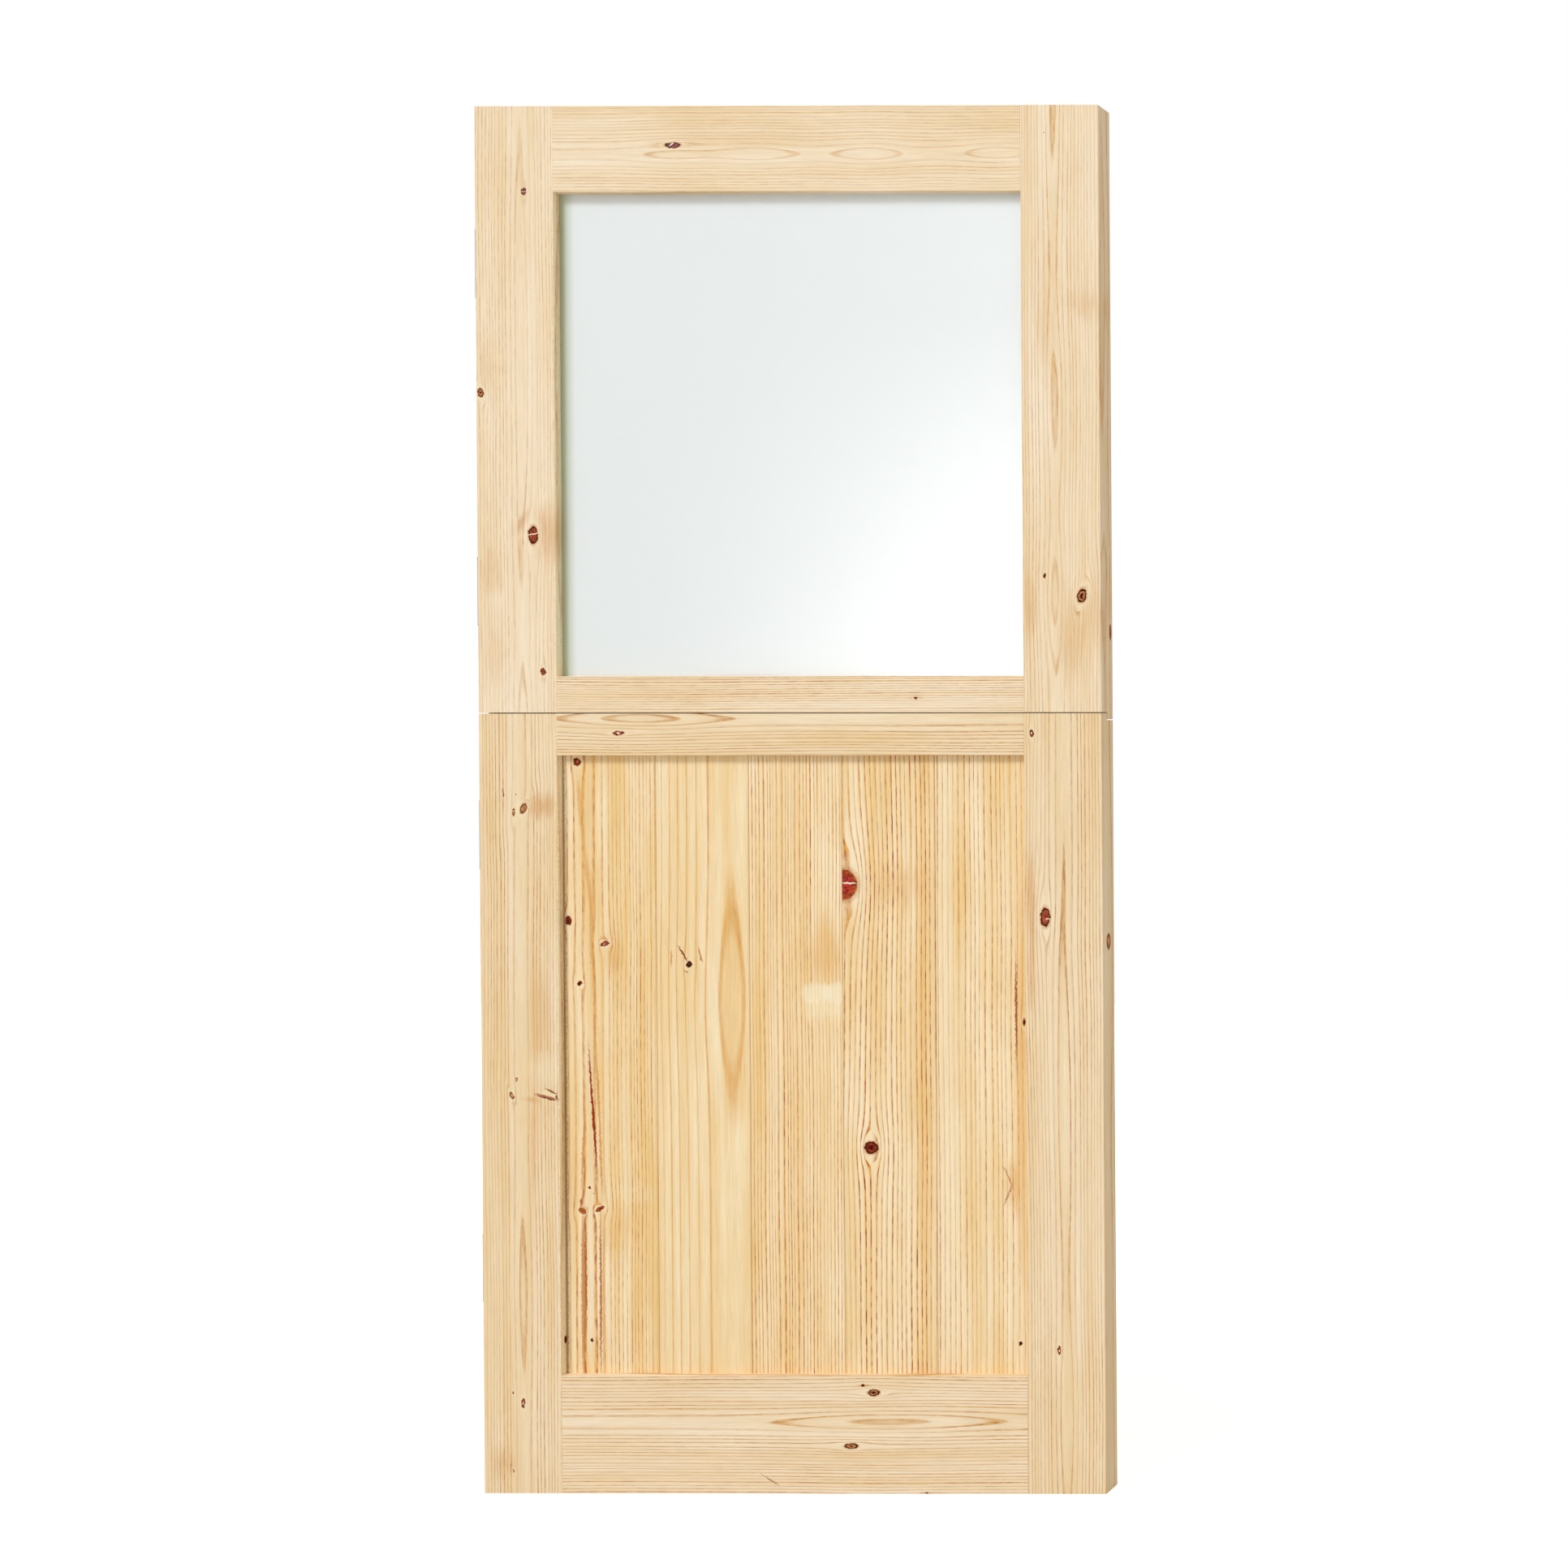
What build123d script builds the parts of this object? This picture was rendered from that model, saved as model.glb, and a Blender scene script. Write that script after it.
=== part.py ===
from build123d import *
import math
import os

# A dutch stable door: two leaves, one above the other, hung on one hinge line.
# Sizes are in millimetres. X runs from the hinge edge to the lock edge, Y from the front face to the rear
# face, and Z up from the bottom edge. The origin is at the bottom centre of the closed door.

# The whole door
door_width = 914.4
door_height = 2032.0
door_thickness = 44.45

# The meeting joint: the upper leaf's rear lip hangs behind the lower leaf's front lip
lower_leaf_height = 1144.0
meeting_gap = 1.5
lap_height = 10.0
front_lip = 21.2

# The solid timber round each leaf
stile_width = 114.3
top_rail_width = 125.5
upper_meeting_rail_width = 53.0
lower_meeting_rail_width = 61.5
bottom_rail_width = 173.0
arris = 0.5

# The plough round the lower leaf's panel, and the tongues that fill it
plough_depth = 12.7
tongue_thickness = 8.0
end_tongue = 11.0

# The panel's planks
plank_count = 5
plank_thickness = 19.05
plank_gap = 0.4
plank_vee = 1.1
plank_tongue = 7.5
tongue_slack = 1.0

# The glass in the upper leaf
glass_recess = 15.9
glass_rebate_width = 12.7
pane_thickness = 3.0
pane_space = 8.5
pane_edge_gap = 3.2
seal_width = 2.5
spacer_width = 7.0
setting_block_length = 75.0
bead_chamfer = 4.0

# The blind mortice and tenon joints between rails and stiles
tenon_length = 63.5
tenon_thickness = 12.0
tenon_set_in = 25.4
meeting_tenon_set_in = 8.0
glue_pocket = 1.5

# The butt hinges
hinge_height = 101.6
hinge_leaf_width = 50.8
hinge_leaf_thickness = 2.8
hinge_gap = 2.0
pin_offset = 12.7
pin_diameter = 6.35
pin_clearance = 0.05
knuckle_count = 5
knuckle_gap = 0.25
knuckle_relief = 0.5
swage_start = 3.0
swage_end = 8.0
swage_bend = 4.0
pin_head_height = 3.0
pin_head_bevel = 1.5
tip_height = 2.5
tip_spigot = 5.0
tip_space = 1.0

# Where the hinges sit: from the top of the door, from the floor, and from the meeting joint
top_hinge_drop = 177.8
bottom_hinge_rise = 279.4
meeting_hinge_offset = 127.0

# The hinge screws, and their holes in the hinge leaves
screw_length = 25.4
screw_head_diameter = 8.2
screw_shank_diameter = 4.2
screw_point = 6.0
screw_hole_diameter = 4.9
sink_angle = 82.0
pilot_clearance = 0.05
outer_hole_spacing = 76.2
inner_hole_spacing = 25.4
outer_hole_reach = 39.0
inner_hole_reach = 24.0

# How far a cutter runs past the face that it opens
overrun = 1.0

# Planes of the door
hinge_edge = -door_width / 2
lock_edge = door_width / 2
front = -door_thickness / 2
rear = door_thickness / 2
joint_left = hinge_edge + stile_width
joint_right = lock_edge - stile_width

# Levels of the lower leaf
panel_low = bottom_rail_width
panel_top = lower_leaf_height - lower_meeting_rail_width
lower_rear_top = lower_leaf_height - lap_height

# Levels of the upper leaf
upper_front_low = lower_leaf_height + meeting_gap
upper_rear_low = lower_rear_top + meeting_gap
glass_low = upper_front_low + upper_meeting_rail_width
glass_top = door_height - top_rail_width

# Where each rail's tenon starts and ends, clear of the rebates, the ploughs and the leaf's corners
top_tenon = (glass_top + glass_rebate_width, door_height - tenon_set_in)
upper_meeting_tenon = (upper_front_low + meeting_tenon_set_in, glass_low - glass_rebate_width)
lower_meeting_tenon = (panel_top + plough_depth, lower_rear_top - meeting_tenon_set_in)
bottom_tenon = (tenon_set_in, panel_low - plough_depth)

# Planes of the meeting joint and the glass, from the front
lower_lip_rear = front + front_lip
upper_lip_front = lower_lip_rear + meeting_gap
pane_front = front + glass_recess
pane_rear = pane_front + pane_thickness
inner_pane_front = pane_rear + pane_space
inner_pane_rear = inner_pane_front + pane_thickness

# The hinge's own sizes that follow from the ones above
bore_radius = pin_diameter / 2 + pin_clearance
knuckle_radius = bore_radius + hinge_leaf_thickness
knuckle_pitch = (hinge_height + knuckle_gap) / knuckle_count
pin_x = hinge_edge - hinge_gap / 2
pin_y = rear + pin_offset
sink_slope = math.tan(math.radians(sink_angle / 2))
sink_depth = (screw_head_diameter - screw_hole_diameter) / 2 / sink_slope
screw_head_depth = (screw_head_diameter - screw_shank_diameter) / 2 / sink_slope

# The lower edge of each hinge, from the top of the door down, and the leaf that it carries
upper_hinge_levels = [
    door_height - top_hinge_drop - hinge_height,
    upper_front_low + meeting_hinge_offset,
]
lower_hinge_levels = [
    lower_leaf_height - meeting_hinge_offset - hinge_height,
    bottom_hinge_rise,
]


def span_box(x0, x1, y0, y1, z0, z1):
    """A block between two planes along each axis."""
    middle = Pos((x0 + x1) / 2, (y0 + y1) / 2, (z0 + z1) / 2)
    return middle * Box(x1 - x0, y1 - y0, z1 - z0)


def eased_rectangle(x0, x1, y0, y1):
    """A rectangle between two lines each way, with its corners eased as a board's arrises are."""
    outline = Pos((x0 + x1) / 2, (y0 + y1) / 2) * Rectangle(x1 - x0, y1 - y0)
    return chamfer(outline.vertices(), arris)


def turned(points):
    """A solid turned about Z, from the radius and height of each corner of its outline."""
    outline = make_face(Polyline(*points, close=True))
    return revolve(Plane.XZ * outline, Axis.Z)


# Stiles and rails

def stile(x0, z0, z1):
    """A plain upright from its left side, with eased long edges."""
    section = eased_rectangle(x0, x0 + stile_width, front, rear)
    return extrude(Pos(0, 0, z0) * section, z1 - z0)


def rail(z0, z1):
    """A plain crosspiece between the stiles, eased along its edges and across its shoulders."""
    side = Plane.YZ.offset(joint_left) * eased_rectangle(front, rear, z0, z1)
    plan = Pos(0, 0, z0) * eased_rectangle(joint_left, joint_right, front, rear)
    return extrude(side, joint_right - joint_left) & extrude(plan, z1 - z0)


def either_end(reach, y0, y1, z0, z1):
    """Two blocks that reach into the stiles from a rail's shoulders."""
    left = span_box(joint_left - reach, joint_left, y0, y1, z0, z1)
    right = span_box(joint_right, joint_right + reach, y0, y1, z0, z1)
    return [left, right]


def tenons(span):
    """A rail's long tenons over the height that they span."""
    return either_end(tenon_length, -tenon_thickness / 2, tenon_thickness / 2, *span)


def mortices(spans):
    """The blind holes for those tenons, a little deeper for glue."""
    depth = tenon_length + glue_pocket
    holes = [either_end(depth, -tenon_thickness / 2, tenon_thickness / 2, *span) for span in spans]
    return [hole for pair in holes for hole in pair]


def haunches(z0, z1):
    """The short tongues on a lower rail's ends, which fill the stiles' plough."""
    return either_end(plough_depth, *tongue_planes(), z0, z1)


def tongue_planes():
    """The front and rear of every tongue and plough, centred in the thickness."""
    return -tongue_thickness / 2, tongue_thickness / 2


def upper_lap_cut():
    """What comes off the upper leaf's bottom edge, in front of its rear lip."""
    return span_box(
        hinge_edge - overrun, lock_edge + overrun,
        front - overrun, upper_lip_front,
        upper_rear_low - overrun, upper_front_low,
    )


def lower_lap_cut():
    """What comes off the lower leaf's top edge, behind its front lip."""
    return span_box(
        hinge_edge - overrun, lock_edge + overrun,
        lower_lip_rear, rear + overrun,
        lower_rear_top, lower_leaf_height + overrun,
    )


def glass_rebate():
    """The step round the glass opening that takes the panes and the beads, cut from the rear."""
    return span_box(
        joint_left - glass_rebate_width, joint_right + glass_rebate_width,
        pane_front, rear + overrun,
        glass_low - glass_rebate_width, glass_top + glass_rebate_width,
    )


def panel_plough():
    """The groove round the panel opening, through the inner edge of all four timbers."""
    return span_box(
        joint_left - plough_depth, joint_right + plough_depth,
        *tongue_planes(),
        panel_low - plough_depth, panel_top + plough_depth,
    )


def stile_plough():
    """The same groove as it runs on to both ends of the lower stiles."""
    return span_box(
        joint_left - plough_depth, joint_right + plough_depth,
        *tongue_planes(),
        -overrun, lower_leaf_height + overrun,
    )


# Hinges

def hinge_section():
    """The stile-side leaf across its pin: the rolled eye, the bend that drops it, and the flat plate."""
    face = hinge_gap / 2
    back = face + hinge_leaf_thickness
    points = [
        (knuckle_radius, 0),
        (knuckle_radius, -swage_start),
        (back, -swage_end),
        (back, -hinge_leaf_width),
        (face, -hinge_leaf_width),
        (face, -swage_end),
        (bore_radius, -swage_start),
        (bore_radius, 0),
    ]
    rounds = [0, swage_bend, swage_bend, 0, 0, swage_bend, swage_bend, 0]
    sheet = make_face(FilletPolyline(*points, radius=rounds, close=True))
    return sheet + Circle(knuckle_radius) - Circle(bore_radius)


def knuckle_clearance(first):
    """What is cut from a leaf where the other leaf's knuckles turn: every second knuckle from first."""
    radius = knuckle_radius + knuckle_relief
    height = knuckle_pitch + knuckle_gap
    cutter = Cylinder(radius, height, align=(Align.CENTER, Align.CENTER, Align.MIN))
    levels = [row * knuckle_pitch - knuckle_gap for row in range(first, knuckle_count, 2)]
    return [Pos(0, 0, level) * cutter for level in levels]


def hole_places():
    """The four screw holes of a leaf, as distances from the pin and heights."""
    middle = hinge_height / 2
    outer = [(outer_hole_reach, middle + side * outer_hole_spacing / 2) for side in (-1, 1)]
    inner = [(inner_hole_reach, middle + side * inner_hole_spacing / 2) for side in (-1, 1)]
    return outer + inner


def into_the_edge(reach, level):
    """The place of a screw or its hole on the stile-side leaf, pointing into the door."""
    return Pos(hinge_gap / 2, -reach, level) * Rot(0, 90, 0)


def countersunk_hole():
    """The cutter for a screw hole, from the leaf's open face down."""
    head = screw_head_diameter / 2
    hole = screw_hole_diameter / 2
    depth = hinge_leaf_thickness + overrun
    return turned([(0, -overrun), (head, -overrun), (head, 0), (hole, sink_depth), (hole, depth), (0, depth)])


def hinge_leaf(cut_from):
    """A stile-side hinge leaf about its pin, with its eyes where the other leaf's are cut away."""
    leaf = extrude(hinge_section(), hinge_height)
    leaf -= knuckle_clearance(cut_from)
    leaf -= [into_the_edge(*place) * countersunk_hole() for place in hole_places()]
    return leaf


def hinge_pin():
    """A loose pin with a button head, which rests on the top knuckle."""
    shank = pin_diameter / 2
    foot = tip_spigot + tip_space
    top = hinge_height + pin_head_height
    return turned([
        (0, foot), (shank, foot), (shank, hinge_height), (knuckle_radius, hinge_height),
        (knuckle_radius, top - pin_head_bevel), (knuckle_radius - pin_head_bevel, top), (0, top),
    ])


def hinge_tip():
    """The button pressed into the bottom knuckle."""
    spigot = pin_diameter / 2
    return turned([
        (0, -tip_height), (knuckle_radius - pin_head_bevel, -tip_height),
        (knuckle_radius, pin_head_bevel - tip_height), (knuckle_radius, 0),
        (spigot, 0), (spigot, tip_spigot), (0, tip_spigot),
    ])


def wood_screw():
    """A flat-headed wood screw, from its head down, with the thread left off."""
    head = screw_head_diameter / 2
    shank = screw_shank_diameter / 2
    shoulder = screw_length - screw_point
    return turned([(0, 0), (head, 0), (shank, screw_head_depth), (shank, shoulder), (0, screw_length)])


def on_the_pin(level):
    """The foot of a hinge's pin line at one level of the door."""
    return Pos(pin_x, pin_y, level)


def hinge_screws(levels):
    """The screws that hold one door leaf's hinges."""
    screw = wood_screw().solid()
    return Compound(
        [on_the_pin(level) * into_the_edge(*place) * screw for level in levels for place in hole_places()]
    )


def hinge_housing(levels):
    """What is cut from a hinge stile: the leaf's shallow seat and the screws' pilot holes."""
    seat = [
        span_box(
            hinge_edge - overrun, hinge_edge + hinge_leaf_thickness,
            pin_y - hinge_leaf_width, rear + overrun,
            level, level + hinge_height,
        )
        for level in levels
    ]
    radius = screw_shank_diameter / 2 + pilot_clearance
    pilot = Cylinder(radius, screw_length, align=(Align.CENTER, Align.CENTER, Align.MIN))
    pilots = [
        on_the_pin(level) * into_the_edge(*place) * pilot for level in levels for place in hole_places()
    ]
    return seat + pilots


# The upper leaf

def upper_stile(x0):
    """An upright of the upper leaf, with the lap, the glass rebate and its mortices."""
    blank = stile(x0, upper_rear_low, door_height)
    return blank - upper_lap_cut() - glass_rebate() - mortices([upper_meeting_tenon, top_tenon])


def top_rail():
    return rail(glass_top, door_height) - glass_rebate() + tenons(top_tenon)


def upper_meeting_rail():
    blank = rail(upper_rear_low, glass_low)
    return blank - upper_lap_cut() - glass_rebate() + tenons(upper_meeting_tenon)


def inset_block(inset, y0, y1):
    """A sheet as large as the glass rebate less an inset all round."""
    reach = glass_rebate_width - inset
    return span_box(
        joint_left - reach, joint_right + reach, y0, y1, glass_low - reach, glass_top + reach
    )


def pane(y0):
    return inset_block(pane_edge_gap, y0, y0 + pane_thickness)


def edge_frame(inset, width):
    """A hollow rectangle between the two panes."""
    outside = inset_block(inset, pane_rear, inner_pane_front)
    return outside - inset_block(inset + width, pane_rear - overrun, inner_pane_front + overrun)


def setting_blocks():
    """Two rubber blocks under the glass, a quarter of its width in from each side."""
    low = glass_low - glass_rebate_width
    quarter = (joint_right - joint_left) / 4
    half = setting_block_length / 2
    blocks = [
        span_box(x - half, x + half, pane_front, inner_pane_rear, low, low + pane_edge_gap).solid()
        for x in (-quarter, quarter)
    ]
    return Compound(blocks)


def rectangle_corners(reach):
    """The corners of the glass opening, moved outwards, as width and height."""
    left, right = joint_left - reach, joint_right + reach
    low, high = glass_low - reach, glass_top + reach
    return [(left, low), (right, low), (right, high), (left, high)]


def glazing_bead(side):
    """The mitred strip that holds the glass along one side, with its inner rear edge taken off."""
    inside = rectangle_corners(0)
    outside = rectangle_corners(glass_rebate_width)
    after = (side + 1) % len(inside)
    points = [inside[side], inside[after], outside[after], outside[side]]
    outline = make_face(Polyline(*points, close=True))
    bead = extrude(Plane.XZ.offset(-rear) * outline, rear - inner_pane_rear)
    (x0, z0), (x1, z1) = inside[side], inside[after]
    inner_edge = bead.edges().sort_by_distance(((x0 + x1) / 2, rear, (z0 + z1) / 2))[0]
    return chamfer(inner_edge, bead_chamfer)


# The lower leaf

def lower_stile(x0):
    """An upright of the lower leaf, with the lap, the plough and its mortices."""
    blank = stile(x0, 0, lower_leaf_height)
    return blank - lower_lap_cut() - stile_plough() - mortices([bottom_tenon, lower_meeting_tenon])


def lower_rail(z0, z1, tenon):
    """A crosspiece of the lower leaf, with haunched tenons and the plough."""
    blank = rail(z0, z1) + haunches(z0, z1)
    return blank - lower_lap_cut() - panel_plough() + tenons(tenon)


def plank_joints():
    """The lines where the planks and the stiles meet, from the hinge side."""
    step = (joint_right - joint_left) / plank_count
    return [joint_left + step * row for row in range(plank_count + 1)]


def plank_sides(row):
    """A plank's two shoulders: hard against a stile, and half a gap from the next plank."""
    left, right = plank_joints()[row], plank_joints()[row + 1]
    if row > 0:
        left += plank_gap / 2
    if row < plank_count - 1:
        right -= plank_gap / 2
    return left, right


def plank_section(row):
    """A plank in plan: eased shoulders, a tongue on its hinge side, and a groove or a tongue opposite."""
    left, right = plank_sides(row)
    body = Pos((left + right) / 2, 0) * Rectangle(right - left, plank_thickness)
    body = chamfer(body.vertices(), plank_vee)
    reach = end_tongue if row == 0 else plank_tongue
    body += Pos(left - reach / 2, 0) * Rectangle(reach, tongue_thickness)
    if row == plank_count - 1:
        return body + Pos(right + end_tongue / 2, 0) * Rectangle(end_tongue, tongue_thickness)
    groove = plank_tongue + tongue_slack
    return body - Pos(right - groove / 2, 0) * Rectangle(groove, tongue_thickness)


def plank(row):
    """One upright plank, with its ends cut down to a tongue that enters the rails."""
    low, high = panel_low - end_tongue, panel_top + end_tongue
    board = extrude(Pos(0, 0, low) * plank_section(row), high - low)
    for y0, y1 in ((-plank_thickness, -tongue_thickness / 2), (tongue_thickness / 2, plank_thickness)):
        for z0, z1 in ((low - overrun, panel_low), (panel_top, high + overrun)):
            board -= span_box(hinge_edge, lock_edge, y0, y1, z0, z1)
    return board


# Each piece under its own name

def upper_leaf_pieces():
    pieces = {
        "upper_hinge_stile": upper_stile(hinge_edge) - hinge_housing(upper_hinge_levels),
        "upper_lock_stile": upper_stile(joint_right),
        "top_rail": top_rail(),
        "upper_meeting_rail": upper_meeting_rail(),
        "frosted_pane": pane(pane_front),
        "rear_pane": pane(inner_pane_front),
        "pane_spacer": edge_frame(pane_edge_gap + seal_width, spacer_width),
        "pane_seal": edge_frame(pane_edge_gap, seal_width),
        "setting_blocks": setting_blocks(),
        "upper_hinge_screws": hinge_screws(upper_hinge_levels),
    }
    for side, name in enumerate(("bottom", "lock_side", "top", "hinge_side")):
        pieces[f"glazing_bead_{name}"] = glazing_bead(side)
    return pieces


def lower_leaf_pieces():
    pieces = {
        "lower_hinge_stile": lower_stile(hinge_edge) - hinge_housing(lower_hinge_levels),
        "lower_lock_stile": lower_stile(joint_right),
        "lower_meeting_rail": lower_rail(panel_top, lower_leaf_height, lower_meeting_tenon),
        "bottom_rail": lower_rail(0, panel_low, bottom_tenon),
        "lower_hinge_screws": hinge_screws(lower_hinge_levels),
    }
    for row in range(plank_count):
        pieces[f"plank_{row + 1}"] = plank(row)
    return pieces


def hinge_pieces():
    """The four hinges, numbered from the top of the door."""
    stile_leaf = hinge_leaf(cut_from=0)
    jamb_leaf = mirror(hinge_leaf(cut_from=1), about=Plane.YZ)
    pin = hinge_pin()
    tip = hinge_tip()
    pieces = {}
    for number, level in enumerate(upper_hinge_levels + lower_hinge_levels, start=1):
        pieces[f"hinge_{number}_stile_leaf"] = on_the_pin(level) * stile_leaf
        pieces[f"hinge_{number}_jamb_leaf"] = on_the_pin(level) * jamb_leaf
        pieces[f"hinge_{number}_pin"] = on_the_pin(level) * pin
        pieces[f"hinge_{number}_tip"] = on_the_pin(level) * tip
    return pieces


os.makedirs("parts", exist_ok=True)
for name, piece in {**upper_leaf_pieces(), **lower_leaf_pieces(), **hinge_pieces()}.items():
    export_step(piece, f"parts/{name}.step")
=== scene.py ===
import bpy
import math
from collections import namedtuple
from mathutils import Matrix, Vector


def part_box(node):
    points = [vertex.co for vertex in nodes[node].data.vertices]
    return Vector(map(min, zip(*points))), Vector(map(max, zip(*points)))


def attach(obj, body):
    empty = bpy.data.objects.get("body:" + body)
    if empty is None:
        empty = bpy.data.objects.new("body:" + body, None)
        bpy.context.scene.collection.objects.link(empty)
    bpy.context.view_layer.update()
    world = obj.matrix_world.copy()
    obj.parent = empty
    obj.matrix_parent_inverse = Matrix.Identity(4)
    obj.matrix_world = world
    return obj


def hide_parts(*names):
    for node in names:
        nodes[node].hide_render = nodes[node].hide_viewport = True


# A dutch stable door of bare knotty pine: a framed leaf with a frosted light above, and a framed leaf of five
# planks below, hung on four steel butt hinges.
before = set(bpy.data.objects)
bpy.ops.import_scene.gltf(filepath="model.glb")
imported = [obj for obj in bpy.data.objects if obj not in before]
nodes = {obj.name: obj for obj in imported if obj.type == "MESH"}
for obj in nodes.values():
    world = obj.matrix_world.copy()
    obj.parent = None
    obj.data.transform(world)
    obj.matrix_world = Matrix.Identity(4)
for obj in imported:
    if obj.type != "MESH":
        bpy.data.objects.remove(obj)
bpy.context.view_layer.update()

# Stiles and rails
# Planed pine boards, sawn flat, so the annual rings run along the face as tan lines and close into long
# pointed ovals over the heart of the log. They part round each knot, which goes right through its board.

# A knot or a mark is an ellipse on the face, a tint is a mark that lies under the rings' lines, and an eye is
# a swelling of the trunk, where the rings close into ovals. Places and sizes are millimetres from the door's
# origin, tilts are degrees, and THROUGH is more than any board's thickness.
THROUGH = 2000.0
Knot = namedtuple("Knot", "across along width length kind tilt flow depth thickness",
                  defaults=(0, 0.55, 0, THROUGH))
Mark = namedtuple("Mark", "across along width length tilt colour strength soft streaky", defaults=(0.5, 0.0))
Tint = namedtuple("Tint", Mark._fields, defaults=(0.8, 3.0))
Eye = namedtuple("Eye", "along length rise")

# What the kinds of knot show from the centre out: pith, wood and bark
RED = ("#8E3A24", "#A04C32", "#561A0C")
CRIMSON = ("#4C0E04", "#88301A", "#4A1206")
MAUVE = ("#703C3C", "#8C5654", "#5A2E2C")
RINGED = ("#4E1406", "#B0744A", "#421404")
PALE = ("#F7E6CF", "#A24A36", "#5A1C10")
TAN = ("#CE9868", "#BE8050", "#6A3014")
BLACK = ("#430C02", "#5A1E08", "#A8703C")


def linear(code):
    """An sRGB hex colour as the linear colour that a socket takes."""
    parts = [int(code[i:i + 2], 16) / 255 for i in (1, 3, 5)]
    return (*((c / 12.92 if c <= 0.04045 else ((c + 0.055) / 1.055) ** 2.4) for c in parts), 1.0)


def node(tree, kind, given=(), stops=(), **settings):
    """Adds a node with its settings, and a colour ramp with its stops, each a place and a colour. What it is
    given, by place or by name, are values, sockets and other nodes."""
    made = tree.nodes.new(kind)
    for name, value in settings.items():
        setattr(made, name, value)
    for count, (place, colour) in enumerate(stops):
        elements = made.color_ramp.elements
        element = elements[count] if count < 2 else elements.new(place)
        element.position, element.color = place, colour
    for place, value in given.items() if isinstance(given, dict) else enumerate(given):
        if isinstance(value, bpy.types.Node):
            value = next(socket for socket in value.outputs if socket.enabled)
        if isinstance(value, bpy.types.NodeSocket):
            tree.links.new(value, made.inputs[place])
        else:
            made.inputs[place].default_value = value
    return made


def grey(level):
    """A level between black and white as a colour that a socket takes."""
    return (level, level, level, 1.0)


def started(name):
    """A new material, with its node tree and its shader."""
    material = bpy.data.materials.new(name)
    material.use_nodes = True
    return material, material.node_tree, material.node_tree.nodes["Principled BSDF"]


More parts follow.
